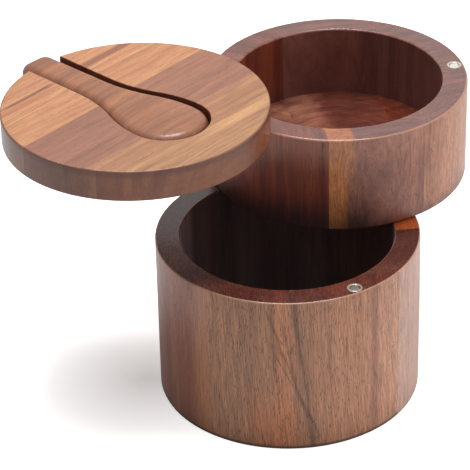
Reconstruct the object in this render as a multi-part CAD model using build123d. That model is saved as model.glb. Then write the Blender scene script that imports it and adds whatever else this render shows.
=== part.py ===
from build123d import *
import math
import os

# Two-tier round salt box in acacia. A deep lower bowl carries a shallow upper bowl, which
# carries a thick flat lid. Each tier swivels on a steel dowel that stands in the wall of the
# tier below, and pot magnets opposite the dowels hold the box closed. A wooden spoon lies
# back up in a recess in the lid.
#
# Millimetres, +Z up. The origin is the centre of the lower bowl's foot. With the box closed,
# the dowels are on +Y and the magnets on -Y. Each tier is made closed, then swung open.

# Bowls and lid
outer_diameter = 110.0
wall_thickness = 10.7
floor_thickness = 11.2
lower_height = 71.2
upper_height = 42.35
lid_thickness = 13.45
tier_gap = 0.2
edge_radius = 0.8

# Glued-up blocks: the direction of the glue planes, and their distances from the tier's axis
lower_board_angle = -21.8
lower_glue_planes = [-38.4, -0.5, 36.0]
upper_board_angle = -4.8
upper_glue_planes = [-26.0, 15.3]
lid_board_angle = 97.1
lid_glue_planes = [-24.5, 10.5]

# Pivot dowels
dowel_diameter = 5.0
dowel_seat_depth = 16.0
dowel_place_in_wall = 0.55
upper_bore_depth = 14.0
lid_bore_depth = 9.0
dowel_glue_clearance = 0.03
dowel_running_clearance = 0.05
dowel_end_clearance = 0.5
dowel_chamfer = 0.4

# Pot magnets
magnet_diameter = 6.35
magnet_height = 4.0
magnet_wood_outside = 1.0
magnet_cup_wall = 1.05
magnet_cup_floor = 0.9
magnet_disc_inset = 0.25
magnet_disc_clearance = 0.1
magnet_rim_rounding = 0.15
magnet_disc_rounding = 0.4
magnet_glue_clearance = 0.03
lower_magnet_turn = 0.6
upper_magnet_turn = -5.0

# Spoon and its recess
recess_depth = 9.0
recess_clearance = 0.7
recess_edge_radius = 0.3
spoon_proud = 1.0
spoon_bowl_diameter = 33.4
spoon_handle_width = 16.2
spoon_handle_reach = 80.5
spoon_shoulder_radius = 49.3
spoon_neck_radius = 60.7
spoon_corner_radius = 4.8
spoon_back_radius = 110.0
spoon_back_slope = 0.6
spoon_edge_radius = 4.3
spoon_foot_radius = 0.6
spoon_hollow_diameter = 26.0
spoon_hollow_depth = 6.4
spoon_turn = 4.4
spoon_bowl_x = 18.8
spoon_bowl_y = 1.35
spoon_side_shift = -0.35

# How far each tier is swung open from closed, seen from above and counter-clockwise
upper_swing = 75.0
lid_swing = -78.2

# Worked out from the sizes above
outer_radius = outer_diameter / 2
inner_radius = outer_radius - wall_thickness
upper_base = lower_height + tier_gap
upper_top = upper_base + upper_height
lid_base = upper_top + tier_gap
lid_top = lid_base + lid_thickness
dowel_radius = dowel_diameter / 2
pivot_radius = outer_radius - dowel_place_in_wall * wall_thickness
magnet_radius = magnet_diameter / 2
magnet_circle = outer_radius - magnet_wood_outside - magnet_radius
beyond = 4 * outer_diameter


def swing(shape, angle):
    """Turn a shape about the pivot axis."""
    pivot = Pos(0, pivot_radius, 0)
    return pivot * Rot(0, 0, angle) * pivot.inverse() * shape


def rod(radius, low, high, x=0.0, y=0.0):
    """An upright cylinder between two heights."""
    return Pos(x, y, low) * extrude(Circle(radius), amount=high - low)


def circles_at(shape, height):
    """The edges of a turned block that lie flat at one height."""
    return shape.edges().filter_by(GeomType.CIRCLE).filter_by_position(Axis.Z, height, height)


def magnet_spot(turn):
    """Where a magnet's axis stands, turned about the tier's axis from the front."""
    angle = math.radians(turn - 90.0)
    return magnet_circle * math.cos(angle), magnet_circle * math.sin(angle)


def magnet_hole(mouth, into, turn):
    """The blind hole for a pot magnet; into is +1 above its mouth and -1 below it."""
    x, y = magnet_spot(turn)
    far = mouth + into * magnet_height
    return rod(magnet_radius + magnet_glue_clearance, min(mouth, far), max(mouth, far), x, y)


def dowel_hole(low, high, clearance):
    """The hole that a dowel stands or turns in."""
    return rod(dowel_radius + clearance, low, high, 0.0, pivot_radius)


def bored_block(base, height):
    """A bowl turned from one block: outside, flat floor and straight bore, with eased edges."""
    top = base + height
    block = rod(outer_radius, base, top) - rod(inner_radius, base + floor_thickness, top)
    return fillet(circles_at(block, base) + circles_at(block, top), edge_radius)


def boards(block, angle, glue_planes):
    """Part a block along its glue planes into the boards that it was glued up from."""
    ends = [-beyond] + glue_planes + [beyond]
    pieces = []
    for low, high in zip(ends, ends[1:]):
        slab = Pos(0, (low + high) / 2, 0) * Box(beyond, high - low, beyond)
        pieces.append(block & (Rot(0, 0, angle) * slab))
    return pieces


def lower_block():
    """The deep bowl, with the seat of its dowel and the hole of its magnet."""
    bowl = bored_block(0.0, lower_height)
    bowl -= dowel_hole(lower_height - dowel_seat_depth, lower_height, dowel_glue_clearance)
    return bowl - magnet_hole(lower_height, -1, lower_magnet_turn)


def upper_block():
    """The shallow bowl, which turns on the lower dowel and carries the lid's dowel."""
    bowl = bored_block(upper_base, upper_height)
    bowl -= dowel_hole(upper_base, upper_base + upper_bore_depth, dowel_running_clearance)
    bowl -= dowel_hole(upper_top - dowel_seat_depth, upper_top, dowel_glue_clearance)
    bowl -= magnet_hole(upper_base, 1, lower_magnet_turn)
    return bowl - magnet_hole(upper_top, -1, upper_magnet_turn)


def lid_block():
    """The lid: a thick disc with a blind bore, a magnet hole and the spoon's recess."""
    disc = rod(outer_radius, lid_base, lid_top)
    disc = fillet(circles_at(disc, lid_base) + circles_at(disc, lid_top), edge_radius)
    disc -= dowel_hole(lid_base, lid_base + lid_bore_depth, dowel_running_clearance)
    disc -= magnet_hole(lid_base, 1, upper_magnet_turn)
    disc -= spoon_recess()
    return fillet(recess_mouth(disc), recess_edge_radius)


def recess_mouth(disc):
    """The edges of the recess in the flat of the lid's top, without the lid's own round edge."""
    flat = disc.faces().sort_by(Axis.Z)[-1]
    within = rod(outer_radius - 2 * edge_radius, lid_base, lid_top + edge_radius)
    return [edge for edge in flat.edges() if within.is_inside(edge @ 0.5)]


def dowel(seat_top, bore_top):
    """A chamfered steel dowel, glued in the tier below and turning in the tier above."""
    low = seat_top - dowel_seat_depth
    pin = rod(dowel_radius, low, bore_top - dowel_end_clearance, 0.0, pivot_radius)
    return chamfer(pin.edges().filter_by(GeomType.CIRCLE), dowel_chamfer)


def pot_magnet(mouth, into, turn):
    """A steel cup and the magnet disc set in it, open towards the mouth of the hole."""
    x, y = magnet_spot(turn)
    cup_inside = magnet_radius - magnet_cup_wall
    cup = rod(magnet_radius, 0.0, magnet_height)
    cup -= rod(cup_inside, magnet_cup_floor, magnet_height)
    cup = fillet(circles_at(cup, magnet_height), magnet_rim_rounding)
    disc_top = magnet_height - magnet_disc_inset
    disc = rod(cup_inside - magnet_disc_clearance, magnet_cup_floor, disc_top)
    disc = fillet(circles_at(disc, disc_top), magnet_disc_rounding)
    tip = Rot(180, 0, 0) if into > 0 else Rot(0, 0, 0)
    place = Pos(x, y, mouth + into * magnet_height) * tip
    return place * cup, place * disc


def spoon_outline(grow, reach):
    """The spoon seen from above, bowl at the origin and handle along -X, grown evenly."""
    bowl = spoon_bowl_diameter / 2 + grow
    handle = spoon_handle_width / 2 + grow
    shoulder = spoon_shoulder_radius + grow
    neck = spoon_neck_radius - grow
    corner = spoon_corner_radius
    shoulder_y = bowl - shoulder
    neck_y = handle + neck
    neck_x = -math.sqrt((shoulder + neck) ** 2 - (neck_y - shoulder_y) ** 2)
    share = shoulder / (shoulder + neck)
    meet = Vector(share * neck_x, shoulder_y + share * (neck_y - shoulder_y))

    tip = ThreePointArc((bowl, 0), bowl * Vector(1, 1).normalized(), (0, bowl))
    swell = RadiusArc((0, bowl), meet, -shoulder)
    waist = RadiusArc(meet, (neck_x, handle), neck)
    side = Line((neck_x, handle), (corner - reach, handle))
    turn = RadiusArc((corner - reach, handle), (-reach, handle - corner), -corner)
    end = Line((-reach, handle - corner), (-reach, 0))
    half = Curve() + [tip, swell, waist, side, turn, end]
    return make_face(half + mirror(half, Plane.XZ))


def lay_in_lid(shape, height):
    """Place a shape made about the spoon's bowl at its place in the closed lid."""
    return Pos(spoon_bowl_x, spoon_bowl_y, height) * Rot(0, 0, spoon_turn) * shape


def spoon_recess():
    """The routed recess, open where the handle passes the lid's edge."""
    outline = spoon_outline(recess_clearance, beyond)
    return lay_in_lid(extrude(outline, amount=beyond), lid_top - recess_depth)


def spoon():
    """The spoon, lying on its rim with its rounded back up, nearer to one side of the recess."""
    thickness = recess_depth + spoon_proud
    body = extrude(spoon_outline(0.0, spoon_handle_reach), amount=thickness)
    back = Pos(0, 0, -spoon_back_radius) * Rot(0, 90, 0) * Cylinder(spoon_back_radius, beyond)
    body &= Pos(0, 0, thickness) * Rot(0, -spoon_back_slope, 0) * back
    back_face = body.faces().sort_by(Axis.Z)[-1]
    body = fillet(back_face.edges(), spoon_edge_radius)
    foot = body.faces().sort_by(Axis.Z)[0]
    body = fillet(foot.edges(), spoon_foot_radius)
    rim = spoon_hollow_diameter / 2
    hollow_radius = (rim ** 2 + spoon_hollow_depth ** 2) / (2 * spoon_hollow_depth)
    body -= Pos(0, 0, spoon_hollow_depth - hollow_radius) * Sphere(hollow_radius)
    return lay_in_lid(Pos(0, spoon_side_shift, 0) * body, lid_top - recess_depth)


def build():
    """Every piece by node name, with each tier swung open."""
    nodes = {}

    def add(name, shape, angle):
        nodes[name] = swing(shape, angle)

    def add_boards(tier, pieces, angle):
        for number, piece in enumerate(pieces, 1):
            add(f"{tier}_board_{number}", piece, angle)

    def add_magnet(name, magnet, angle):
        cup, disc = magnet
        add(f"{name}_magnet_cup", cup, angle)
        add(f"{name}_magnet_disc", disc, angle)

    add_boards("lower", boards(lower_block(), lower_board_angle, lower_glue_planes), 0.0)
    add("lower_dowel", dowel(lower_height, upper_base + upper_bore_depth), 0.0)
    add_magnet("lower_rim", pot_magnet(lower_height, -1, lower_magnet_turn), 0.0)

    upper = boards(upper_block(), upper_board_angle, upper_glue_planes)
    add_boards("upper", upper, upper_swing)
    add("upper_dowel", dowel(upper_top, lid_base + lid_bore_depth), upper_swing)
    add_magnet("upper_foot", pot_magnet(upper_base, 1, lower_magnet_turn), upper_swing)
    add_magnet("upper_rim", pot_magnet(upper_top, -1, upper_magnet_turn), upper_swing)

    lid = boards(lid_block(), lid_board_angle, lid_glue_planes)
    add_boards("lid", lid, lid_swing)
    add_magnet("lid", pot_magnet(lid_base, 1, upper_magnet_turn), lid_swing)
    add("spoon", spoon(), lid_swing)
    return nodes


os.makedirs("parts", exist_ok=True)
for node, shape in build().items():
    export_step(shape, f"parts/{node}.step")
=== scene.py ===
# %% [markdown]
# # A two-tier salt box in acacia
# The box is turned from glued-up blocks of acacia: a deep bowl, a shallow bowl on top of it and
# a thick flat lid, each swinging on a steel pin. A wooden spoon lies back up in the lid.
# The CAD model already has every board, pin and magnet as its own node, so this lesson is
# mostly about wood: how one board differs from the next, and how it looks on its side, on its
# end and under a worn oil finish.

# %% Load the fixed frame
import math
import bpy
from mathutils import Matrix, Vector

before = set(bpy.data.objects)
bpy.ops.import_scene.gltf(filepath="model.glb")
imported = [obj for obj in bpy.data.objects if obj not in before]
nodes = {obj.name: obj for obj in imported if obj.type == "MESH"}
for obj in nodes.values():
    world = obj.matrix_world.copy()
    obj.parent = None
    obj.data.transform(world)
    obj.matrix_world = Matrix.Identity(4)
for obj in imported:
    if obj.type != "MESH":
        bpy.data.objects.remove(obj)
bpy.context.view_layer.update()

# %% [markdown]
# ## Camera
# A long lens held well back keeps the three round tiers from looking stretched. It looks down
# on the box at about 32 degrees, so that the hollows, the rims and the walls all show. A camera
# can be aimed with a Track To constraint, but a place and three plain turns also take in the
# slight tilt with which it is held.

# %% Set up the camera
camera_place = (-0.46453, -0.77605, 0.62541)
camera_azimuth = -29.522
camera_elevation = 31.553
camera_roll = -1.4287
image_pixels = 470
focal_pixels = 2560.72

camera_data = bpy.data.cameras.new("camera")
camera_data.sensor_width = 36.0
camera_data.lens = focal_pixels * camera_data.sensor_width / image_pixels
camera = bpy.data.objects.new("camera", camera_data)
bpy.context.scene.collection.objects.link(camera)
camera.matrix_world = (
    Matrix.Translation(camera_place)
    @ Matrix.Rotation(math.radians(camera_azimuth), 4, "Z")
    @ Matrix.Rotation(math.radians(90.0 - camera_elevation), 4, "X")
    @ Matrix.Rotation(math.radians(camera_roll), 4, "Z")
)
bpy.context.scene.camera = camera
bpy.context.scene.view_settings.view_transform = "Standard"
print("lens (mm):", round(camera_data.lens, 1))


# %% [markdown]
# ## Small helpers for nodes
# Every material below is a few dozen nodes. These helpers add a node and fill its inputs in
# one line, so that the code reads like the node editor looks.

# %% Helpers that add nodes
def add(tree, kind, inputs=None, **settings):
    """Add a node, set its options, and fill or link its inputs."""
    node = tree.nodes.new(kind)
    for name, value in settings.items():
        setattr(node, name, value)
    for name, value in (inputs or {}).items():
        if isinstance(value, bpy.types.NodeSocket):
            tree.links.new(value, node.inputs[name])
        else:
            node.inputs[name].default_value = value
    return node


def calc(tree, operation, a, b=0.0, c=0.0, clamp=False):
    """A Math node's result."""
    node = add(tree, "ShaderNodeMath", {0: a, 1: b, 2: c}, operation=operation, use_clamp=clamp)
    return node.outputs[0]


def ramp(tree, value, low, high, start, end, smooth=False):
    """A Map Range node's result: start at low, end at high, and nothing beyond them."""
    inputs = {"Value": value, "From Min": low, "From Max": high, "To Min": start, "To Max": end}
    curve = "SMOOTHSTEP" if smooth else "LINEAR"
    return add(tree, "ShaderNodeMapRange", inputs, interpolation_type=curve).outputs[0]


def parts_of(tree, place):
    """The X, Y and Z of a place."""
    return add(tree, "ShaderNodeSeparateXYZ", {0: place}).outputs


def point(tree, x=0.0, y=0.0, z=0.0):
    """A place from its X, Y and Z."""
    return add(tree, "ShaderNodeCombineXYZ", {0: x, 1: y, 2: z}).outputs[0]


# %% Helpers for colours and materials
def mix_colour(tree, share, a, b, blend="MIX"):
    """One colour laid over another."""
    node = add(tree, "ShaderNodeMix", {0: share, 6: a, 7: b}, data_type="RGBA", blend_type=blend)
    return node.outputs[2]


def rgb(red, green, blue):
    """A colour as a paint program gives it, 0 to 255, made linear."""
    def linear(c):
        c /= 255.0
        return c / 12.92 if c <= 0.04045 else ((c + 0.055) / 1.055) ** 2.4
    return (linear(red), linear(green), linear(blue), 1.0)


def new_material(name):
    """An empty node material with a Principled BSDF, and its node tree."""
    material = bpy.data.materials.new(name)
    material.use_nodes = True
    tree = material.node_tree
    tree.nodes.clear()
    shader = add(tree, "ShaderNodeBsdfPrincipled")
    out = add(tree, "ShaderNodeOutputMaterial")
    tree.links.new(shader.outputs[0], out.inputs[0])
    return material, tree, shader


def give(node_names, material):
    """Put a material on CAD nodes."""
    for name in node_names:
        mesh = nodes[name].data
        mesh.materials.clear()
        mesh.materials.append(material)
    print(material.name, "->", ", ".join(node_names))


print("middle grey, made linear:", round(rgb(128, 128, 128)[0], 3))

# %% [markdown]
# ## A white studio
# The box stands on a white sweep with white all round. A world that is evenly white would do
# it, but so much light from the side takes the roundness out of the bowls. So the world lights
# the box only a little, more from overhead, and shows its plain white to the camera and to
# shiny surfaces alone. The Light Path node tells these rays from the ones that carry light.


# %% Light the world
def light_world(level, overhead, seen, sky_starts=0.3):
    """Soft light that is stronger overhead; the camera and shiny surfaces see plain white."""
    world = bpy.data.worlds.new("white studio")
    bpy.context.scene.world = world
    world.use_nodes = True
    tree = world.node_tree
    tree.nodes.clear()
    height = parts_of(tree, add(tree, "ShaderNodeTexCoord").outputs["Generated"])["Z"]
    sky = ramp(tree, height, sky_starts, 1.0, level, overhead, smooth=True)
    rays = add(tree, "ShaderNodeLightPath").outputs
    plain = calc(tree, "MAXIMUM", rays["Is Camera Ray"], rays["Is Glossy Ray"])
    plain = calc(tree, "MAXIMUM", plain, rays["Is Transmission Ray"])
    strength = calc(tree, "MULTIPLY_ADD", plain, calc(tree, "SUBTRACT", seen, sky), sky)
    back = add(tree, "ShaderNodeBackground", {"Strength": strength})
    out = add(tree, "ShaderNodeOutputWorld")
    tree.links.new(back.outputs[0], out.inputs[0])


light_world(level=0.03, overhead=0.4, seen=1.0)
print("world:", bpy.context.scene.world.name)

# %% [markdown]
# ## Two softboxes
# One soft lamp hangs high and a little behind the box, so the lid throws its shadow on the
# floor beside the deep bowl. A second one on the right models the round walls from bright to
# dark, as a window does. Square area lamps keep the shadows soft, which point lamps wouldn't.
# The side lamp isn't mirrored, because its square would lie as a pale patch on the oiled walls.


# %% Hang the lamps
def add_softbox(name, place, size, watts, mirrored=True, aim=(0.0, 0.0, 0.06)):
    """A square soft lamp that looks at the box."""
    data = bpy.data.lights.new(name, "AREA")
    data.shape = "SQUARE"
    data.size = size
    data.energy = watts
    lamp = bpy.data.objects.new(name, data)
    bpy.context.scene.collection.objects.link(lamp)
    lamp.location = place
    lamp.visible_glossy = mirrored
    lamp.rotation_euler = (Vector(aim) - Vector(place)).to_track_quat("-Z", "Y").to_euler()


add_softbox("top softbox", (0.08, 0.14, 1.1), size=0.5, watts=10.2)
add_softbox("side softbox", (0.83, -0.62, 0.42), size=0.6, watts=3.6, mirrored=False)
print("lamps:", [lamp.name for lamp in bpy.data.lights])

# %% [markdown]
# ## Floor
# Under lamps this gentle a white floor comes out pale grey. More light would burn the wood out
# with it. Instead the floor glows a little, but only for the camera, and less where the lid's
# shadow falls, so that the shadow stays. Shiny surfaces see only a trace of that glow, or the
# foot of each wall would mirror a pale band.

# %% The floor's glow
shade_centre = (-0.053, 0.029)
shade_reach = (0.056, 0.054)


def floor_glow(tree, glow_round, glow_under_lid, shine):
    """How strongly the floor glows: by place for the camera, evenly for mirrored rays."""
    rays = add(tree, "ShaderNodeLightPath").outputs
    where = add(tree, "ShaderNodeTexCoord").outputs["Object"]
    shade = {"Vector": where, "Location": (*shade_centre, 0.0), "Scale": (*shade_reach, 1.0)}
    centred = add(tree, "ShaderNodeMapping", shade, vector_type="TEXTURE").outputs[0]
    under = add(tree, "ShaderNodeTexGradient", {0: centred}, gradient_type="SPHERICAL").outputs["Fac"]
    glow = ramp(tree, under, 0.0, 1.0, glow_round, glow_under_lid)
    mirrored = calc(tree, "MAXIMUM", rays["Is Glossy Ray"], rays["Is Transmission Ray"])
    in_view = calc(tree, "MULTIPLY", rays["Is Camera Ray"], glow)
    return calc(tree, "MAXIMUM", in_view, calc(tree, "MULTIPLY", mirrored, shine))


print("the shadow is kept round (m):", shade_centre)


# %% Lay the floor
def lay_floor(size, glow_round, glow_under_lid, shine, white=(0.92, 0.92, 0.92, 1.0)):
    """A white floor that keeps the shadow and is otherwise as white as the backdrop."""
    bpy.ops.object.select_all(action="DESELECT")
    bpy.ops.mesh.primitive_plane_add(size=size)
    floor = bpy.context.object
    floor.name = "floor"
    material = bpy.data.materials.new("white floor")
    material.use_nodes = True
    tree = material.node_tree
    tree.nodes.clear()
    paint = add(tree, "ShaderNodeBsdfDiffuse", {"Color": white})
    strength = floor_glow(tree, glow_round, glow_under_lid, shine)
    lift = add(tree, "ShaderNodeEmission", {"Strength": strength})
    both = add(tree, "ShaderNodeAddShader", {0: paint.outputs[0], 1: lift.outputs[0]})
    out = add(tree, "ShaderNodeOutputMaterial")
    tree.links.new(both.outputs[0], out.inputs[0])
    floor.data.materials.append(material)
    print("floor (m):", floor.dimensions[:2])


lay_floor(size=8.0, glow_round=0.86, glow_under_lid=0.4, shine=0.1)

# %% [markdown]
# ## Wood, one effect at a time
# Wood is a bundle of fibres laid down in yearly layers round the pith, the middle of the tree.
# If each board knows where its pith was, a single pattern in space gives all its faces: arcs
# on the end grain, long lines on the sides and pointed arches where a layer runs out.
# A picture of wood wrapped round the bowl would show none of that at the rim. Each effect
# below is a node group, so that every board can use it with its own values.


# %% Helpers for node groups
def new_group(name, inputs, outputs):
    """An empty node group; inputs maps names to default values, outputs lists masks."""
    tree = bpy.data.node_groups.new(name, "ShaderNodeTree")
    for socket, value in inputs.items():
        kind = "NodeSocketVector" if isinstance(value, tuple) else "NodeSocketFloat"
        item = tree.interface.new_socket(socket, in_out="INPUT", socket_type=kind)
        item.default_value = value
    for socket in outputs:
        tree.interface.new_socket(socket, in_out="OUTPUT", socket_type="NodeSocketFloat")
    return tree, add(tree, "NodeGroupInput").outputs, add(tree, "NodeGroupOutput").inputs


def use(tree, group, inputs):
    """Place a node group in a material and return its outputs."""
    return add(tree, "ShaderNodeGroup", inputs, node_tree=group).outputs


def vector(tree, operation, a, b=(0.0, 0.0, 0.0), scale=1.0):
    """A Vector Math node's result."""
    inputs = {0: a, "Scale": scale} if operation == "SCALE" else {0: a, 1: b}
    node = add(tree, "ShaderNodeVectorMath", inputs, operation=operation)
    return node.outputs["Value" if operation in ("LENGTH", "DOT_PRODUCT") else "Vector"]


# %% Helpers for soft noise
def noise(tree, place, seed, detail=2.0, colour=False):
    """Soft noise about 0.5, one blob to a unit."""
    node = add(tree, "ShaderNodeTexNoise", {"Vector": place, "W": seed, "Scale": 1.0, "Detail": detail},
               noise_dimensions="4D")
    return node.outputs["Color" if colour else 0]


def steepen(tree, value, contrast):
    """Push a soft noise apart from 0.5, kept within 0 and 1."""
    return calc(tree, "MULTIPLY_ADD", calc(tree, "SUBTRACT", value, 0.5), contrast, 0.5, clamp=True)


def drift(tree, place, stretch, seed, reach, detail=2.0):
    """A shift that wanders from place to place, about nothing, as far as reach says."""
    soft = noise(tree, vector(tree, "MULTIPLY", place, stretch), seed, detail, colour=True)
    return vector(tree, "SCALE", vector(tree, "SUBTRACT", soft, (0.5, 0.5, 0.5)), scale=reach)


print("node groups so far:", len(bpy.data.node_groups))

# %% [markdown]
# ### Grain
# The first effect turns a place in the board, in mm with the grain along Z, into its distance
# from the pith and its place along the layer. Broad bands, fine streaks and thin dark veins
# are all noise stretched in that space, so they bend together. A Wave texture would be simpler,
# but its layers are all of one width, and a tree's never are.


# %% The grain group
def make_grain():
    """Bands, streaks and veins that follow the yearly layers."""
    tree, given, result = new_group(
        "acacia grain",
        {"Vector": (0.0, 0.0, 0.0), "Pith": (0.0, 40.0, 0.0), "Lean": (0.0, 0.0, 0.0), "Wander": 4.0,
         "Band Width": 5.0, "Streak Width": 0.9, "Streak Length": 25.0, "Vein Spacing": 7.0, "Seed": 0.0},
        ["Bands", "Streaks", "Veins"])
    height = parts_of(tree, given["Vector"])["Z"]
    middle = vector(tree, "ADD", given["Pith"], vector(tree, "SCALE", given["Lean"], scale=height))
    shift = drift(tree, given["Vector"], (0.06, 0.06, 0.016), given["Seed"], given["Wander"])
    place = vector(tree, "ADD", vector(tree, "SUBTRACT", given["Vector"], middle), shift)
    across = vector(tree, "LENGTH", vector(tree, "MULTIPLY", place, (1.0, 1.0, 0.0)))
    along = parts_of(tree, place)["X"]

    def stretched(width, spread, length, seed, detail):
        """Noise that is width across the layers, spread along them and length up the grain."""
        sizes = ((across, width), (along, spread), (height, length))
        spot = point(tree, *[calc(tree, "DIVIDE", *pair) for pair in sizes])
        return noise(tree, spot, calc(tree, "ADD", given["Seed"], seed), detail)

    def times(value, count):
        return calc(tree, "MULTIPLY", value, count)

    # A band spreads far along its layer and further up the grain, and so does a vein.
    wide = given["Band Width"]
    bands = stretched(wide, times(wide, 8.0), times(wide, 30.0), seed=3.0, detail=2.0)
    tree.links.new(steepen(tree, bands, 3.2), result["Bands"])
    thin = given["Streak Width"]
    streaks = stretched(thin, times(thin, 2.5), given["Streak Length"], seed=5.0, detail=4.0)
    tree.links.new(steepen(tree, streaks, 3.0), result["Streaks"])
    gap = given["Vein Spacing"]
    veins = stretched(gap, times(gap, 6.0), times(gap, 22.0), seed=7.0, detail=2.0)
    off_vein = calc(tree, "ABSOLUTE", calc(tree, "SUBTRACT", veins, 0.5))
    tree.links.new(ramp(tree, off_vein, 0.0, 0.02, 1.0, 0.0), result["Veins"])
    return tree


grain = make_grain()
print("group:", grain.name)

# %% [markdown]
# ### Pores
# Acacia has open pores that show as fine dark dashes on a side face and as dots on the end
# grain. Cells stretched along the grain, each with a small dark core, give both at once.
# Cutting real pits into the mesh would take millions of faces for what is a tenth of a
# millimetre deep.


# %% The pores group
def make_pores():
    """Dark pores: dashes along the grain, dots across it. Amount is the share of cells with one."""
    tree, given, result = new_group(
        "open pores",
        {"Vector": (0.0, 0.0, 0.0), "Spacing": 1.0, "Length": 5.0, "Width": 0.12, "Amount": 0.6,
         "Waver": 0.6, "Seed": 0.0},
        ["Pores"])
    reach = calc(tree, "MULTIPLY", given["Waver"], 6.0)
    bend = drift(tree, given["Vector"], (0.12, 0.12, 0.08), given["Seed"], reach, detail=1.0)
    place = vector(tree, "ADD", given["Vector"], bend)
    cell = point(tree, given["Spacing"], given["Spacing"], given["Length"])
    cells = add(tree, "ShaderNodeTexVoronoi",
                {"Vector": vector(tree, "DIVIDE", place, cell), "W": given["Seed"], "Scale": 1.0},
                voronoi_dimensions="4D", feature="F1").outputs
    chance = add(tree, "ShaderNodeSeparateColor", {0: cells["Color"]}).outputs[0]
    has_one = calc(tree, "LESS_THAN", chance, given["Amount"])
    edge = calc(tree, "MULTIPLY", given["Width"], 2.5)
    core = ramp(tree, cells["Distance"], given["Width"], edge, 1.0, 0.0)
    tree.links.new(calc(tree, "MULTIPLY", core, has_one), result["Pores"])
    return tree


pores = make_pores()
print("group:", pores.name)

# %% [markdown]
# ### Bands of another colour
# Heartwood meets sapwood, and a board has places of its own: a purple stripe, a tan edge. A
# mask bounded across the board, with a wandering edge, puts each where it belongs. A colour
# ramp over the yearly layers would put every stripe in all the boards alike.


# %% The band group
def make_band():
    """A mask that is 1 between Low and High, with a wandering soft edge on each side."""
    tree, given, result = new_group(
        "grain band",
        {"Vector": (0.0, 0.0, 0.0), "Across": 0.0, "Low": -1.0, "High": 1.0, "Soft": 0.5,
         "Wander": 1.0, "Seed": 0.0},
        ["Band"])
    stretch = vector(tree, "MULTIPLY", given["Vector"], (0.25, 0.25, 0.045))
    shift = calc(tree, "SUBTRACT", noise(tree, stretch, given["Seed"], 3.0), 0.5)
    shift = calc(tree, "MULTIPLY", shift, calc(tree, "MULTIPLY", given["Wander"], 4.0))
    across = calc(tree, "ADD", given["Across"], shift)

    def edge(at, start, end):
        low = calc(tree, "SUBTRACT", at, given["Soft"])
        high = calc(tree, "ADD", at, given["Soft"])
        return ramp(tree, across, low, high, start, end, smooth=True)

    mask = calc(tree, "MULTIPLY", edge(given["Low"], 0.0, 1.0), edge(given["High"], 1.0, 0.0))
    tree.links.new(mask, result["Band"])
    return tree


band = make_band()
print("group:", band.name)

# %% [markdown]
# ### Lathe marks
# Each tier is turned, so it keeps faint rings round its middle, and the hollow drinks more oil
# than the outside. The outer arris carries a painted line, a painted highlight on the bowls.
# Painting each of these on a map of its own would take unwrapping. All three follow the
# distance from the tier's axis, so one number is enough.

# %% The turning group
outer_radius = 55.0
bore_radius = 44.3
arris_width = 0.8


def make_turning():
    """Faint rings round the tier's axis, what lies inside the bore, and the outer arris."""
    tree, given, result = new_group(
        "lathe marks",
        {"Radius": 0.0, "Ring Width": 1.6, "Bore": bore_radius, "Outside": outer_radius, "Seed": 0.0},
        ["Rings", "Inside", "Arris"])
    radius = given["Radius"]
    spot = point(tree, calc(tree, "DIVIDE", radius, given["Ring Width"]))
    tree.links.new(steepen(tree, noise(tree, spot, given["Seed"], 3.0), 2.5), result["Rings"])

    def step(at, width, start, end):
        return ramp(tree, radius, at, calc(tree, "ADD", at, width), start, end)

    # Both steps are a few tenths of a millimetre wide, so that the tones meet softly.
    inside = step(calc(tree, "ADD", given["Bore"], 0.2), 0.4, 1.0, 0.0)
    tree.links.new(inside, result["Inside"])
    arris = step(calc(tree, "SUBTRACT", given["Outside"], arris_width), 0.3, 0.0, 1.0)
    tree.links.new(arris, result["Arris"])
    return tree


turning = make_turning()
print("group:", turning.name, "for a wall of (mm):", round(outer_radius - bore_radius, 1))

# %% [markdown]
# ### Oil that has soaked in unevenly
# End grain shows where the wood drank more oil: soft patches about a finger wide, a little
# darker or paler than the rest. Plain soft noise does this, and the same group serves the
# rims, the floors and the sides of the lid and the spoon.


# %% The oil patches group
def make_patches():
    """Soft patches, each about Size mm across, pushed apart towards 0 and 1."""
    tree, given, result = new_group(
        "oil patches", {"Vector": (0.0, 0.0, 0.0), "Size": 10.0, "Seed": 0.0}, ["Patches"])
    place = vector(tree, "SCALE", given["Vector"], scale=calc(tree, "DIVIDE", 1.0, given["Size"]))
    tree.links.new(steepen(tree, noise(tree, place, given["Seed"], 4.0), 3.0), result["Patches"])
    return tree


oil_patches = make_patches()
print("group:", oil_patches.name)

# %% [markdown]
# ### Arcs on a turned floor
# A bowl's floor is sanded while it spins, so its sheen and its oil run in arcs round the axis,
# across the grain. The noise here is read by direction and by distance from the axis instead
# of by plain position, which draws each blob out along its own circle. Reading it by angle
# would do that too, but would leave a seam where the angle starts again.


# %% The arcs group
def make_arcs():
    """Streaks that lie along circles round the axis, each about Width mm across."""
    tree, given, result = new_group(
        "turned arcs", {"Vector": (0.0, 0.0, 0.0), "Width": 3.5, "Seed": 0.0}, ["Arcs"])
    level = vector(tree, "MULTIPLY", given["Vector"], (1.0, 1.0, 0.0))
    towards = vector(tree, "SCALE", vector(tree, "NORMALIZE", level), scale=2.2)
    outwards = calc(tree, "DIVIDE", vector(tree, "LENGTH", level), given["Width"])
    place = vector(tree, "ADD", towards, point(tree, z=outwards))
    tree.links.new(steepen(tree, noise(tree, place, given["Seed"], 3.0), 3.0), result["Arcs"])
    return tree


turned_arcs = make_arcs()
print("group:", turned_arcs.name)

# %% [markdown]
# ## Where each board lies in its tree
# The tiers were turned closed and then swung open. Undoing that swing, and turning the glue
# planes to lie along X, gives every board the same simple space in mm: X across the block, Y
# through it from glue plane to glue plane, and Z along the grain. In the bowls the grain
# stands upright. In the lid it lies flat, so there Z runs along the boards. One Mapping node on
# Object coordinates does it all, and the figure stays in the wood when a tier swings.

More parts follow.
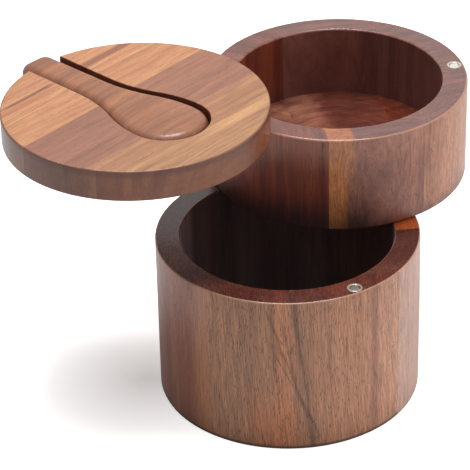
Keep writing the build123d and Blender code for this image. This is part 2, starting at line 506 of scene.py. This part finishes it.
# %% Board space
pivot = Vector((0.0, 49.115, 0.0))
tier_swing = {"lower": 0.0, "upper": 75.0, "lid": -78.2}
board_angle = {"lower": -21.8, "upper": -4.8, "lid": 97.1}
mm_per_m = 1000.0


def board_turn(tier):
    """The rotation from a tier as it stands open to its board space, and its shift."""
    unswing = Matrix.Rotation(math.radians(-tier_swing[tier]), 3, "Z")
    square = Matrix.Rotation(math.radians(-board_angle[tier]), 3, "Z")
    if tier == "lid":
        square = Matrix.Rotation(math.radians(-90.0), 3, "Y") @ square
    return square @ unswing, square @ (pivot - unswing @ pivot)


def board_space(tree, tier):
    """Object coordinates in millimetres, in board space."""
    turn, shift = board_turn(tier)
    source = add(tree, "ShaderNodeTexCoord").outputs["Object"]
    steps = {"Vector": source, "Location": shift, "Rotation": turn.to_euler("XYZ"),
             "Scale": (mm_per_m, mm_per_m, mm_per_m)}
    return add(tree, "ShaderNodeMapping", steps, vector_type="POINT").outputs[0]


for tier in tier_swing:
    turn, shift = board_turn(tier)
    print(tier, "is turned by:", [round(math.degrees(angle), 1) for angle in turn.to_euler()])

# %% [markdown]
# ## Kinds of face
# A turned block shows end grain on its rim and floor, and long grain on its wall and in its
# bore. In the lid it is the sides that show end grain. Each kind of face takes oil in its own
# way. They could be picked out in edit mode and given slots of their own, but the line between
# two kinds would then be as hard as the mesh. Masks from where a face looks, and from how far it
# is from the axis, fade softly over the arris.

# %% Find the kinds of face
hollow_radius = {"lower": bore_radius, "upper": bore_radius, "lid": 53.4}
seed_step = {"pores": 3.0, "lathe": 4.0, "patches": 6.0, "arcs": 7.0}


def axis_distance(tree, place, tier):
    """Distance from the tier's axis in mm. In the lid the axis lies along X of board space."""
    keep = (0.0, 1.0, 1.0) if tier == "lid" else (1.0, 1.0, 0.0)
    return vector(tree, "LENGTH", vector(tree, "MULTIPLY", place, keep))


def facing_up(tree):
    """1 on a face that looks up, 0 on an upright one and -1 underneath."""
    return parts_of(tree, add(tree, "ShaderNodeTexCoord").outputs["Normal"])["Z"]


def find_faces(tree, place, tier, seed):
    """Masks for the kinds of face a board has, for its end grain and for the lathe's marks."""
    up = facing_up(tree)
    lathe = use(tree, turning, {"Radius": axis_distance(tree, place, tier), "Bore": hollow_radius[tier],
                "Seed": seed + seed_step["lathe"]})
    inside = lathe["Inside"]
    flat = calc(tree, "MULTIPLY", up, up)
    upright = calc(tree, "SUBTRACT", 1.0, flat)
    outside = calc(tree, "SUBTRACT", 1.0, inside)
    kinds = {"rim": (flat, outside), "floor": (flat, inside), "bore": (upright, inside),
             "wall": (upright, outside)}
    if tier == "lid":
        kinds = {"side": (upright, outside), "recess": (upright, inside)}
    faces = {name: calc(tree, "MULTIPLY", *pair) for name, pair in kinds.items()}
    faces["ends"] = upright if tier == "lid" else flat
    return {**faces, "up": up, "inside": inside, "rings": lathe["Rings"], "arris": lathe["Arris"]}


print("a face is inside within (mm):", hollow_radius)

# %% [markdown]
# ## A band where a board has one
# A stripe of sapwood, a mineral line or painted shade along a foot is laid over the board's
# colour, between two bounds in board space. Each is made here as a small function that a board
# calls when it gets to it, so a board's bands are a plain list, laid in order like coats of
# stain.


# %% Lay a band
def band_mask(tree, place, across, low, high, soft, wander, seed):
    """1 between low and high, and 0 elsewhere."""
    return use(tree, band, {"Vector": place, "Across": across, "Low": low, "High": high, "Soft": soft,
               "Wander": wander, "Seed": seed})["Band"]


def lay_band(axis, low, high, tone, soft=0.5, wander=1.0, depth=1.0, seed=0.0, slant=0.0,
             within=None, on=None):
    """A band of another tone between low and high (mm). slant leans it as it climbs, within
    bounds it on more axes and on keeps it to one kind of face."""
    def lay(tree, place, colour, faces):
        part = parts_of(tree, place)
        across = calc(tree, "MULTIPLY_ADD", part["Z"], slant, part[axis]) if slant else part[axis]
        mask = band_mask(tree, place, across, low, high, soft, wander, seed)
        for other, (other_low, other_high, other_soft) in (within or {}).items():
            bound = band_mask(tree, place, part[other], other_low, other_high, other_soft,
                              0.5 * other_soft, seed + 1.0)
            mask = calc(tree, "MULTIPLY", mask, bound)
        if on:
            mask = calc(tree, "MULTIPLY", mask, faces[on])
        return mix_colour(tree, calc(tree, "MULTIPLY", mask, depth), colour, tone)
    return lay


print("bands are laid with the group:", band.name)

# %% [markdown]
# ## A board of acacia
# Every board is built in one order, close to the one in which the real one came about: plain
# wood in two tones, its own bands, faces darkened by oil, bands of painted light and shade on
# some boards, streaks, rings and soaked patches, veins and pores, a painted line along the
# arris, and last the polish. One recipe keeps the boards alike, as boards of one kind of tree
# are, and each only says what is different about it. Lengths are in mm, and depths are shares
# from 0 to 1.

# %% What a board is like unless it says otherwise
standard_board = {
    "lean": (0.0, 0.0, 0.0),
    "wander": 4.0,
    "band_width": 5.0,
    "streak_width": 0.45,
    "streak_length": 18.0,
    "streak_depth": 0.5,
    "vein_spacing": 7.0,
    "vein_depth": 0.3,
    "pore_spacing": 0.62,
    "pore_length": 8.0,
    "pore_width": 0.16,
    "pore_amount": 0.7,
    "pore_depth": 0.75,
    "patch_depth": 0.35,
    "ring_depth": 0.4,
    "arc_depth": 0.5,
    "arris_paint": 0.5,
    "coat": 0.25,
    "gloss": 0.15,
}
print("a board has", len(standard_board), "values that it may change")


# %% Plain wood
def tinted(tree, share, colour, tint):
    """Multiply a colour by a tint, as far as share says."""
    return mix_colour(tree, share, colour, (*tint, 1.0), "MULTIPLY")


def plain_wood(tree, place, board):
    """The figure of the wood, and its two tones laid in broad bands."""
    figure = use(tree, grain, {
        "Vector": place, "Pith": board["pith"], "Lean": board["lean"], "Wander": board["wander"],
        "Band Width": board["band_width"], "Streak Width": board["streak_width"],
        "Streak Length": board["streak_length"], "Vein Spacing": board["vein_spacing"],
        "Seed": board["seed"]})
    return figure, mix_colour(tree, figure["Bands"], board["dark"], board["light"])


print("plain wood reads the group:", grain.name)

# %% [markdown]
# ### Light and dark
# Streaks run through the whole board, but oil calms them inside a bowl. Rings and arcs show
# only where the lathe cut across the grain, and oil patches on end grain. Adding them to one
# number about 1, and multiplying the colour by it once, keeps their tones from turning muddy.

# %% Shade the wood
calm_inside = 0.5


def vary(tree, shade, marks, where, depth):
    """Add marks to the shade, about nothing, on the faces that where picks out."""
    marks = calc(tree, "SUBTRACT", marks, 0.5)
    return calc(tree, "ADD", shade, calc(tree, "MULTIPLY", marks, calc(tree, "MULTIPLY", where, depth)))


def shade_wood(tree, place, colour, figure, faces, board):
    """The colour with streaks, rings, soaked patches and sanded arcs."""
    is_bowl = board["tier"] != "lid"
    seed = board["seed"]
    contrast = board["streak_depth"]
    if is_bowl:
        calm = calc(tree, "MULTIPLY_ADD", faces["inside"], -calm_inside, 1.0)
        contrast = calc(tree, "MULTIPLY", calm, contrast)
    streaks = calc(tree, "SUBTRACT", figure["Streaks"], 0.5)
    shade = calc(tree, "MULTIPLY_ADD", streaks, contrast, 1.0)
    if is_bowl:
        shade = vary(tree, shade, faces["rings"], faces["ends"], board["ring_depth"])
    soaked = use(tree, oil_patches, {"Vector": place, "Seed": seed + seed_step["patches"]})["Patches"]
    shade = vary(tree, shade, soaked, faces["ends"], board["patch_depth"])
    if is_bowl:
        sanded = use(tree, turned_arcs, {"Vector": place, "Seed": seed + seed_step["arcs"]})["Arcs"]
        shade = vary(tree, shade, sanded, faces["floor"], board["arc_depth"])
    grey = add(tree, "ShaderNodeCombineColor", {0: shade, 1: shade, 2: shade}).outputs[0]
    return mix_colour(tree, 1.0, colour, grey, "MULTIPLY")


print("streaks inside a bowl keep this share of their depth:", 1.0 - calm_inside)

# %% [markdown]
# ### Veins and pores
# Veins are thin dark lines along a few layers. Pores are open on the walls, but sanding dust
# and oil have filled most of them inside a bowl and on its rim, so they are fainter there.

# %% Draw the veins and the pores
vein_tint = (0.3, 0.22, 0.22)
pore_tint = (0.22, 0.18, 0.2)
pore_fill = 0.6


def draw_pores(tree, place, colour, figure, faces, board):
    """The colour with dark veins and pores, and the pores themselves."""
    share = board["pore_depth"]
    if board["tier"] != "lid":
        filled = calc(tree, "MAXIMUM", faces["inside"], faces["rim"])
        share = calc(tree, "MULTIPLY", calc(tree, "MULTIPLY_ADD", filled, -pore_fill, 1.0), share)
    lines = calc(tree, "MULTIPLY", figure["Veins"], board["vein_depth"])
    colour = tinted(tree, lines, colour, vein_tint)
    dashes = use(tree, pores, {
        "Vector": place, "Spacing": board["pore_spacing"], "Length": board["pore_length"],
        "Width": board["pore_width"], "Amount": board["pore_amount"],
        "Seed": board["seed"] + seed_step["pores"]})["Pores"]
    return dashes, tinted(tree, calc(tree, "MULTIPLY", dashes, share), colour, pore_tint)


print("pores inside a bowl keep this share of their depth:", 1.0 - pore_fill)

# %% [markdown]
# ### A painted arris line
# The arris is the edge between the top and the side. On the bowls it carries a painted
# highlight, a pale line where the rounded edge catches the light from above. On the lid it is
# painted as a dark line.

# %% Paint the arris line
# A pale painted highlight on the bowls' arris, and a dark painted line on the lid's.
painted_arris_highlight = rgb(226, 176, 146)
arris_tone = {"lower": painted_arris_highlight, "upper": painted_arris_highlight, "lid": rgb(124, 70, 48)}


def paint_arris_line(tree, colour, faces, board):
    """The colour with the outer arris in its own tone, on faces that look up."""
    arris = calc(tree, "MULTIPLY", calc(tree, "MAXIMUM", faces["up"], 0.0), faces["arris"])
    share = calc(tree, "MULTIPLY", arris, board["arris_paint"])
    return mix_colour(tree, share, colour, arris_tone[board["tier"]])


print("the arris is this wide (mm):", arris_width)

# %% [markdown]
# ### Oil and polish
# Oiled wood is satin: a fairly rough body with a thin smoother coat over it. The bowls' rims
# and the lid's sides were polished more than the rest, and pores stay dull. Streaks and pores
# also lie a hair deeper, which a Bump node shows without touching the mesh. What is the same
# all over, such as the coat's own roughness, is set on the shader itself.

# %% Oil and polish a board
wood_roughness = 0.4
streak_roughness = 0.12
pore_roughness = 0.2
end_roughness = {"lower": -0.18, "upper": -0.18, "lid": 0.1}
extra_polish = {"lower": 0.28, "upper": 0.5, "lid": 0.55}
rim_sharpness = 4.0
streak_relief = 0.3
relief_depth = 0.0001
oiled_ior = 1.47


def polish(tree, shader, figure, dashes, faces, board):
    """Roughness, coat and fine relief, from the same streaks and pores as the colour."""
    tier = board["tier"]
    polished = faces["side"] if tier == "lid" else calc(tree, "POWER", faces["rim"], rim_sharpness)
    rough = calc(tree, "MULTIPLY_ADD", figure["Streaks"], streak_roughness, wood_roughness)
    rough = calc(tree, "MULTIPLY_ADD", faces["ends"], end_roughness[tier], rough)
    tree.links.new(calc(tree, "MULTIPLY_ADD", dashes, pore_roughness, rough), shader.inputs["Roughness"])
    coat = calc(tree, "MULTIPLY_ADD", polished, extra_polish[tier], board["coat"])
    tree.links.new(coat, shader.inputs["Coat Weight"])
    relief = calc(tree, "SUBTRACT", calc(tree, "MULTIPLY", figure["Streaks"], streak_relief), dashes)
    bump = add(tree, "ShaderNodeBump", {"Height": relief, "Strength": 0.35, "Distance": relief_depth})
    tree.links.new(bump.outputs[0], shader.inputs["Normal"])
    shader.inputs["IOR"].default_value = oiled_ior
    shader.inputs["Coat Roughness"].default_value = board["gloss"]


print("extra polish by tier:", extra_polish)

# %% [markdown]
# ### A board from start to finish
# The steps above, in order. A board names its tier, pith, light and dark tones, seed and tints.
# Everything else comes from the standard board unless it is given.

# %% Put a board together
def acacia(name, tier, pith, light, dark, seed, tints, bands=(), finish=(), **changes):
    """A material for one board. bands colour the plain wood and finish the oiled faces, painted light and
    shade included.
    """
    board = {**standard_board, **changes}
    board.update(tier=tier, pith=pith, light=light, dark=dark, seed=seed)
    material, tree, shader = new_material(name)
    place = board_space(tree, tier)
    figure, colour = plain_wood(tree, place, board)
    for lay in bands:
        colour = lay(tree, place, colour, None)
    faces = find_faces(tree, place, tier, seed)
    # Bore tints, and the deep bowl's floor tints, hold painted shade and a painted grey haze too.
    for face, tint in tints.items():
        colour = tinted(tree, faces[face], colour, tint)
    for lay in finish:
        colour = lay(tree, place, colour, faces)
    colour = shade_wood(tree, place, colour, figure, faces, board)
    dashes, colour = draw_pores(tree, place, colour, figure, faces, board)
    colour = paint_arris_line(tree, colour, faces, board)
    tree.links.new(colour, shader.inputs["Base Color"])
    polish(tree, shader, figure, dashes, faces, board)
    return material


print("groups that the recipe uses:", [g.name for g in (grain, turning, oil_patches, turned_arcs, pores)])

# %% [markdown]
# ## The deep bowl
# Four boards are glued face to face and bored out as one block. One material for the whole
# bowl would hide the glue lines, so each board gets its own tones and its own pith, and a tint
# for each kind of face. On the floor and in the bore those tints are partly oil and partly
# painted shade and a painted grey haze. Two finishes run over several boards: a painted contact
# shadow along the foot, where the wall meets the floor, and the rim is orange where the
# heartwood comes up to the oil.

# %% What the deep bowl's boards share
# A thin band of painted contact shadow along the foot, where the wall meets the floor.
contact_shadow_height = 1.7
painted_contact_shadow = lay_band("Z", -5.0, contact_shadow_height, rgb(60, 50, 44), soft=0.6, wander=0.1, depth=0.8,
                     seed=10.0, on="wall")
orange_rim = rgb(186, 86, 38)
print("painted contact shadow climbs the foot by about (mm):", contact_shadow_height)

# %% [markdown]
# ### The front board
# The slab that faces the front, copper brown with fine short pores. Dark mineral lines climb
# through it and lean to one side, and each dies out at its own height. They could be painted
# on, but as bands in board space they stay thin and sharp however near one looks.


# %% The front board's bands
def mineral_line(low, high, slant, top, seed, soft=0.6, wander=1.0, depth=0.55):
    """A thin dark line that leans as it climbs and dies out near the height top."""
    return lay_band("X", low, high, rgb(104, 70, 56), soft, wander, depth, seed, slant,
                    within={"Z": (-9.0, top, 8.0)})


front_bands = [
    lay_band("X", -14.0, -8.0, rgb(228, 150, 104), soft=3.0, wander=2.0, depth=0.6, seed=6.0),
    lay_band("X", 0.2, 1.8, rgb(112, 76, 62), soft=0.8, wander=1.2, depth=0.6, seed=7.0, slant=0.114),
    mineral_line(0.4, 1.2, slant=0.2, top=62.0, seed=13.0),
    mineral_line(3.8, 4.7, slant=0.326, top=66.0, seed=14.0),
    mineral_line(5.6, 6.3, slant=0.42, top=50.0, seed=15.0, soft=0.5, wander=0.9, depth=0.5),
    lay_band("X", 5.0, 60.0, rgb(216, 150, 116), soft=8.0, wander=4.0, depth=0.45, seed=8.0),
    lay_band("X", 26.0, 29.0, rgb(146, 96, 84), soft=1.2, wander=0.5, depth=0.6, seed=1.0),
    lay_band("X", 30.0, 60.0, rgb(216, 162, 134), soft=1.5, wander=0.8, depth=0.4, seed=9.0),
    lay_band("Z", -9.0, 24.0, rgb(212, 128, 78), soft=9.0, wander=5.0, depth=0.6, seed=5.0,
             within={"X": (-24.0, -6.0, 6.0)}),
]
print("bands in the front board:", len(front_bands))

# %% The front board
give(["lower_board_1"], acacia(
    "front board", "lower", (-100.0, -30.0, 0.0), rgb(196, 140, 105), rgb(168, 118, 90), 11.0,
    {"rim": (0.2, 0.09, 0.1), "floor": (0.4, 0.55, 0.78), "bore": (0.42, 0.72, 1.3)},
    bands=front_bands, finish=[painted_contact_shadow],
    lean=(-0.06, 0.0, 0.0), wander=3.0, band_width=3.0,
    streak_width=0.32, streak_length=9.0, streak_depth=0.75,
    pore_spacing=0.42, pore_length=4.6, pore_width=0.17, pore_amount=1.0, pore_depth=0.95))

# %% [markdown]
# ### The mahogany board
# Redder than its neighbour, with a tan edge along the glue line. Its wall has a painted pale
# sheen to the right and painted light up towards the rim. Those two are soft wide bands kept to
# the outer wall alone.

# %% The mahogany board
tan_edge = lay_band("Y", -39.5, -33.0, rgb(190, 128, 90), soft=2.0, wander=0.6, seed=1.0)
# Painted pale sheen on the right of the wall, and painted light towards its top.
painted_sheen_right = lay_band("X", 20.0, 90.0, rgb(206, 162, 142), soft=12.0, wander=2.0, seed=2.0, on="wall")
painted_light_top = lay_band("Z", 50.0, 90.0, rgb(206, 158, 144), soft=16.0, wander=2.0, depth=0.4, seed=16.0,
                    on="wall")
orange_stripe = lay_band("Y", -7.0, 1.0, orange_rim, soft=0.3, wander=0.1, seed=3.0,
                         within={"X": (20.0, 90.0, 4.0)}, on="rim")
give(["lower_board_2"], acacia(
    "mahogany board", "lower", (60.0, -60.0, 0.0), rgb(180, 117, 86), rgb(148, 90, 73), 12.0,
    {"rim": (0.22, 0.16, 0.2), "floor": (0.4, 0.6, 0.85), "bore": (0.7, 1.65, 3.1)},
    bands=[tan_edge], finish=[painted_contact_shadow, painted_sheen_right, painted_light_top, orange_stripe],
    streak_length=8.0, streak_depth=0.4,
    pore_spacing=0.45, pore_length=4.0, pore_amount=0.75, pore_depth=0.6))

# %% [markdown]
# ### The plum board and the back board
# Two calmer boards with few pores. The plum board carries the orange rim on, and its bore has
# painted shade to one side, where the shallow bowl shades it. The back board is the plainest of
# the four, and needs no band but the painted contact shadow at the foot.

# %% The plum board and the back board
orange_end = lay_band("X", 20.0, 90.0, orange_rim, soft=4.0, wander=1.0, seed=4.0, on="rim")
# Painted shade on one side of the plum board's bore, where the shallow bowl shades it.
painted_bore_shade = lay_band("X", -20.0, 90.0, rgb(112, 88, 80), soft=15.0, depth=0.6, seed=9.0, on="bore")
give(["lower_board_3"], acacia(
    "plum board", "lower", (-30.0, 70.0, 0.0), rgb(178, 108, 78), rgb(146, 82, 62), 13.0,
    {"rim": (0.3, 0.24, 0.3), "floor": (0.4, 0.6, 0.85), "bore": (0.7, 1.5, 2.8)},
    finish=[painted_contact_shadow, orange_end, painted_bore_shade], pore_amount=0.5))
give(["lower_board_4"], acacia(
    "back board", "lower", (10.0, 90.0, 0.0), rgb(182, 116, 82), rgb(146, 88, 66), 14.0,
    {"rim": (0.3, 0.24, 0.26), "floor": (0.4, 0.6, 0.85), "bore": (0.6, 1.3, 2.4)}, finish=[painted_contact_shadow]))

# %% [markdown]
# ## The shallow bowl
# Three boards this time. The wall has painted light at the brim and painted shade at the foot,
# where it sits over the deep bowl. The painted shade differs in tone from board to board, so
# there are three such bands, and each board takes what it needs. The bore tints are partly oil
# and partly painted shade and a painted grey haze.

# %% What the shallow bowl's boards share
# Painted light near the brim, and painted shade at the foot and along the lower edge.
painted_brim_light = lay_band("Z", 104.0, 130.0, rgb(222, 160, 134), soft=8.0, wander=2.0, depth=0.4,
                     seed=12.0, on="wall")
foot_top = 81.0
painted_foot_shade = lay_band("Z", 60.0, foot_top, rgb(50, 42, 50), soft=8.0, wander=1.5, depth=0.8,
                     seed=9.0, on="wall")
plum_foot_painted_shade = lay_band("Z", 60.0, foot_top, rgb(56, 38, 38), soft=8.0, wander=1.5, depth=0.75,
                     seed=9.0, within={"Y": (-4.0, 10.0, 6.0)}, on="wall")
painted_low_edge_shade = lay_band("Z", 60.0, 75.0, rgb(88, 58, 56), soft=4.0, wander=1.0, depth=0.5,
                    seed=8.0, on="wall")
print("the dark foot fades out round a height of (mm):", foot_top)

# %% [markdown]
# ### The copper board
# A warm side board with many short pores. Its end grain on the bowl's floor drank so much oil
# that it is nearly red, which a strong tint on that kind of face gives.

# %% The copper board
short_grain = {"streak_width": 0.35, "streak_length": 5.5, "streak_depth": 0.55,
               "pore_spacing": 0.4, "pore_length": 3.0, "pore_amount": 1.0}
# Its wall's lower edge takes painted shade.
give(["upper_board_1"], acacia(
    "copper board", "upper", (-80.0, -60.0, 0.0), rgb(214, 150, 117), rgb(178, 121, 96), 21.0,
    {"rim": (0.3, 0.24, 0.29), "floor": (0.26, 0.11, 0.08), "bore": (0.36, 0.35, 0.5)},
    finish=[painted_low_edge_shade], band_width=3.0, **short_grain))

# %% [markdown]
# ### The grey plum board
# The middle board has a pale sapwood edge on one side only. The sapwood is a band bounded
# across the board and along it, with a second softer one near the brim, and it has a tone of
# its own on the rim. Two broad bands on the floor, one dark and one pale, are where the oil
# stood in the bowl.

# %% The grey plum board
sapwood_end = (-90.0, -30.0, 4.0)
sapwood = lay_band("Y", 8.0, 30.0, rgb(232, 150, 92), soft=0.4, wander=0.7, seed=2.0,
                   within={"X": sapwood_end})
sapwood_brim = lay_band("Y", 4.5, 10.0, rgb(228, 148, 96), soft=1.0, wander=0.8, depth=0.8, seed=3.0,
                        within={"X": sapwood_end, "Z": (97.0, 130.0, 14.0)})
sapwood_rim = lay_band("X", -90.0, -42.0, rgb(174, 102, 55), soft=1.0, seed=6.0,
                       within={"Y": (5.0, 17.0, 1.0)}, on="rim")
dark_floor = lay_band("Y", -14.0, -3.0, rgb(96, 48, 38), soft=4.0, wander=2.0, depth=0.8,
                      seed=7.0, on="floor")
pale_floor = lay_band("Y", 2.0, 16.0, rgb(152, 98, 78), soft=5.0, wander=2.5, depth=0.85,
                      seed=5.0, on="floor")
# Its wall takes painted shade low down and painted light at the brim.
give(["upper_board_2"], acacia(
    "grey plum board", "upper", (-95.0, -8.0, 0.0), rgb(194, 129, 106), rgb(153, 100, 86), 22.0,
    {"rim": (0.42, 0.34, 0.355), "floor": (0.33, 0.2, 0.17), "bore": (0.62, 0.57, 0.66)},
    bands=[sapwood, sapwood_brim],
    finish=[painted_low_edge_shade, plum_foot_painted_shade, painted_brim_light, sapwood_rim, dark_floor, pale_floor],
    band_width=4.0, **short_grain))

# %% [markdown]
# ### The russet board
# The reddest board of the box, and the calmest, with fewer pores and faint streaks. It is so
# dark already that oil changes its faces little, so it needs only mild tints.

# %% The russet board
# Its wall takes painted shade at the foot and painted light at the brim.
give(["upper_board_3"], acacia(
    "russet board", "upper", (-40.0, 90.0, 0.0), rgb(163, 83, 57), rgb(121, 54, 40), 23.0,
    {"rim": (0.65, 0.7, 0.74), "floor": (0.85, 1.5, 1.7), "bore": (0.8, 0.82, 0.86)},
    finish=[painted_foot_shade, painted_brim_light], pore_amount=0.5, streak_depth=0.38))

# %% [markdown]
# ## The lid
# The lid's boards lie flat, so its top shows long grain and its sides end grain. Coarse
# streaks and short pores make up its figure. A tint darkens the sides and the recess, and just
# under the arris a band of painted shade darkens the side more. X of board space points down
# here, so that shaded line is a band on X.

# %% What the lid's boards share
lid_grain = {"streak_width": 0.7, "streak_length": 10.0, "streak_depth": 0.3,
             "pore_spacing": 0.45, "pore_length": 2.6, "pore_depth": 0.5, "gloss": 0.3}
# Painted shade along the top of the lid's side, just under the arris.
lid_side_painted_shade = lay_band("X", -129.0, -124.6, rgb(92, 46, 32), soft=1.3, wander=0.2, depth=0.6,
                    seed=8.0, on="side")
print("the lid's grain changes", len(lid_grain), "values of the standard board")

# %% [markdown]
# ### The tan board
# The outermost board on the side of the spoon's bowl, light tan. It is duller along the glue
# line, and has a lighter stripe further out that shows on one half of its length only.

# %% The tan board
dull_stripe = lay_band("Y", -31.0, -20.0, rgb(160, 106, 76), soft=2.0, wander=1.0, depth=0.6, seed=3.0)
light_stripe = lay_band("Y", -42.0, -36.5, rgb(212, 160, 112), soft=1.5, wander=1.0, depth=0.7,
                        seed=4.0, within={"Z": (0.0, 60.0, 12.0)})
give(["lid_board_1"], acacia(
    "tan board", "lid", (-110.0, -140.0, 0.0), rgb(188, 139, 98), rgb(160, 108, 74), 31.0,
    {"side": (0.64, 0.41, 0.32), "recess": (0.36, 0.24, 0.2)},
    bands=[dull_stripe, light_stripe], finish=[lid_side_painted_shade], band_width=2.5, **lid_grain))

# %% [markdown]
# ### The heather board
# The middle board is the darkest on top, and darker still towards its free end. A tan margin a
# few millimetres wide runs along one glue line. The spoon's recess crosses the whole board, and
# because the figure lives in space and not on the faces, it carries on inside the recess.

# %% The heather board
dusky_end = lay_band("Z", -90.0, -6.0, rgb(146, 96, 76), soft=14.0, wander=4.0, depth=0.5, seed=2.0)
tan_margin = lay_band("Y", -40.0, -22.0, rgb(184, 132, 93), soft=3.5, wander=0.6, seed=3.0)
give(["lid_board_2"], acacia(
    "heather board", "lid", (-100.0, 120.0, 0.0), rgb(172, 118, 92), rgb(150, 99, 76), 32.0,
    {"side": (0.68, 0.54, 0.47), "recess": (0.42, 0.3, 0.26)},
    bands=[dusky_end, tan_margin], finish=[lid_side_painted_shade], band_width=4.0, wander=2.0, **lid_grain))

# %% [markdown]
# ### The honey board
# The lightest board of the box, crossed by the spoon's handle. Two short dark streaks lie in one
# line along its grain, and each is a narrow band that starts and stops.

# %% The honey board
near_streak = lay_band("Y", 37.6, 39.3, rgb(122, 72, 52), soft=0.5, wander=0.3, depth=0.85,
                       seed=4.0, within={"Z": (-37.0, -8.0, 4.0)})
far_streak = lay_band("Y", 37.6, 41.0, rgb(136, 80, 62), soft=0.7, wander=0.3, depth=0.85,
                      seed=5.0, within={"Z": (7.0, 44.0, 5.0)})
give(["lid_board_3"], acacia(
    "honey board", "lid", (-110.0, -60.0, 0.0), rgb(208, 150, 106), rgb(180, 118, 82), 33.0,
    {"side": (0.45, 0.37, 0.33), "recess": (0.3, 0.24, 0.24)},
    bands=[near_streak, far_streak], finish=[lid_side_painted_shade], band_width=2.5, **lid_grain))

# %% [markdown]
# ## The spoon
# The spoon is carved from one piece and handled more than anything else, so it has more oil
# and a smoother coat than the lid round it. It could have a board space of its own, but its
# grain lies flat as the lid's does, so it shares the lid's and has its own pith and tones.

# %% The spoon's wood
spoon_grain = {**lid_grain, "patch_depth": 0.6, "coat": 0.45, "gloss": 0.2}
give(["spoon"], acacia(
    "spoon wood", "lid", (-120.0, 180.0, 0.0), rgb(176, 113, 71), rgb(136, 83, 56), 41.0,
    {"side": (0.7, 0.6, 0.6), "recess": (0.7, 0.6, 0.6)}, **spoon_grain))

# %% [markdown]
# ## Magnets and pins
# Each pot magnet is a bright nickel-plated steel cup with a duller magnet disc set in it. The
# plating is smooth but never perfect: hands and salt leave fine scratches and a little haze.
# The two steel pins are ground round. One colour and one roughness would look like new
# plastic, so a group gives every metal the same kinds of mark, each at its own scale.


# %% The scuffed metal group
def make_scuffs():
    """Haze that varies softly and fine scratches, on a metal face. Size is in mm."""
    tree, given, result = new_group(
        "scuffed metal", {"Vector": (0.0, 0.0, 0.0), "Size": 1.5, "Seed": 0.0}, ["Haze", "Scratches"])
    place = vector(tree, "SCALE", given["Vector"], scale=calc(tree, "DIVIDE", 1.0, given["Size"]))
    tree.links.new(steepen(tree, noise(tree, place, given["Seed"], 4.0), 2.5), result["Haze"])
    fine = vector(tree, "MULTIPLY", place, (14.0, 1.2, 3.0))
    lines = noise(tree, fine, calc(tree, "ADD", given["Seed"], 2.0), 3.0)
    tree.links.new(steepen(tree, lines, 4.0), result["Scratches"])
    return tree


scuffs = make_scuffs()
print("group:", scuffs.name)


# %% Recipe for a metal
def plated(name, bright, dull, roughness, seed, size=1.5, scratch=0.1):
    """A metal whose haze mixes two tones, with scratches in its roughness and relief."""
    material, tree, shader = new_material(name)
    source = add(tree, "ShaderNodeTexCoord").outputs["Object"]
    place = vector(tree, "SCALE", source, scale=mm_per_m)
    marks = use(tree, scuffs, {"Vector": place, "Size": size, "Seed": seed})
    tree.links.new(mix_colour(tree, marks["Haze"], bright, dull), shader.inputs["Base Color"])
    rough = calc(tree, "MULTIPLY_ADD", marks["Haze"], 0.12, roughness)
    rough = calc(tree, "MULTIPLY_ADD", marks["Scratches"], scratch, rough)
    tree.links.new(rough, shader.inputs["Roughness"])
    relief = {"Height": marks["Scratches"], "Strength": 0.15, "Distance": 0.00005}
    bump = add(tree, "ShaderNodeBump", relief)
    tree.links.new(bump.outputs[0], shader.inputs["Normal"])
    shader.inputs["Metallic"].default_value = 1.0
    return material


print("marks on metal are laid out in mm, and there are this many in a metre:", mm_per_m)

# %% [markdown]
# ### The four pot magnets and the two pins
# The cups are bright and the discs are dull. The disc in the deep bowl's rim is darker than
# the others, so it gets a metal of its own. The pins have broader and stronger marks, from
# grinding.


# %% Nickel, magnet and steel
def ending(tail):
    """The CAD nodes whose names end alike."""
    return [name for name in nodes if name.endswith(tail)]


give(ending("magnet_cup"), plated("nickel cup", rgb(240, 232, 226), rgb(208, 200, 194), 0.2, 51.0))
give(ending("magnet_disc"), plated("magnet disc", rgb(226, 223, 214), rgb(196, 194, 184), 0.45, 52.0))
give(["lower_rim_magnet_disc"], plated(
    "darker magnet disc", rgb(168, 172, 160), rgb(112, 116, 106), 0.3, 54.0, size=1.2))
give(ending("dowel"), plated(
    "ground pin steel", rgb(190, 188, 186), rgb(160, 158, 156), 0.25, 53.0, size=2.5, scratch=0.2))
